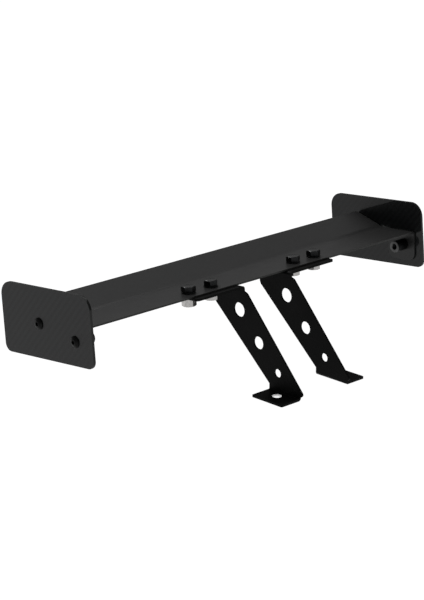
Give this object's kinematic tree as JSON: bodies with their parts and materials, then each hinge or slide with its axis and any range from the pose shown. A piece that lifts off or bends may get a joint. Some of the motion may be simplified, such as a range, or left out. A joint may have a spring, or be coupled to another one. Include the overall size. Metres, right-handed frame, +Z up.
{
  "type": "racing rear wing",
  "caption": "Rear wing with a folded sheet blade between upright end plates, carried low on two bent, drilled support brackets with flat bolt-down feet.",
  "frame": {"origin": "midway between the two foot holes, on the underside of the feet", "axes": "+X along the span to the right seen from the leading edge, -Y towards the leading edge, +Z up out of the surface the feet are bolted to"},
  "size_m": [0.5282, 0.2338, 0.1456],
  "materials": {
    "blade_paint": "satin black coating with a fine grain",
    "carbon_plate": "glossy black twill-weave composite sheet",
    "bracket_coat": "satin black powder coat",
    "black_fastener": "black oxide",
    "zinc_nut": "bright zinc plate",
    "sleeve_coat": "dark anodised, paler at the turned end"
  },
  "bodies": {
    "root": {"wing_blade": "blade_paint", "end_plate_left": "carbon_plate", "end_plate_right": "carbon_plate", "bracket_left": "bracket_coat", "bracket_right": "bracket_coat", "hex_bolt_left_inner": "black_fastener", "hex_bolt_left_outer": "black_fastener", "hex_bolt_right_inner": "black_fastener", "hex_bolt_right_outer": "black_fastener", "washer_left_inner": "black_fastener", "washer_left_outer": "black_fastener", "washer_right_inner": "black_fastener", "washer_right_outer": "black_fastener", "hex_nut_left_inner": "zinc_nut", "hex_nut_left_outer": "zinc_nut", "hex_nut_right_inner": "zinc_nut", "hex_nut_right_outer": "zinc_nut", "plate_screw_left_front": "black_fastener", "plate_screw_left_rear": "black_fastener", "plate_screw_right_front": "black_fastener", "plate_screw_right_rear": "black_fastener", "sleeve_nut_left_front": "sleeve_coat", "sleeve_nut_left_rear": "sleeve_coat", "sleeve_nut_right_front": "sleeve_coat", "sleeve_nut_right_rear": "sleeve_coat"}
  },
  "joints": []
}
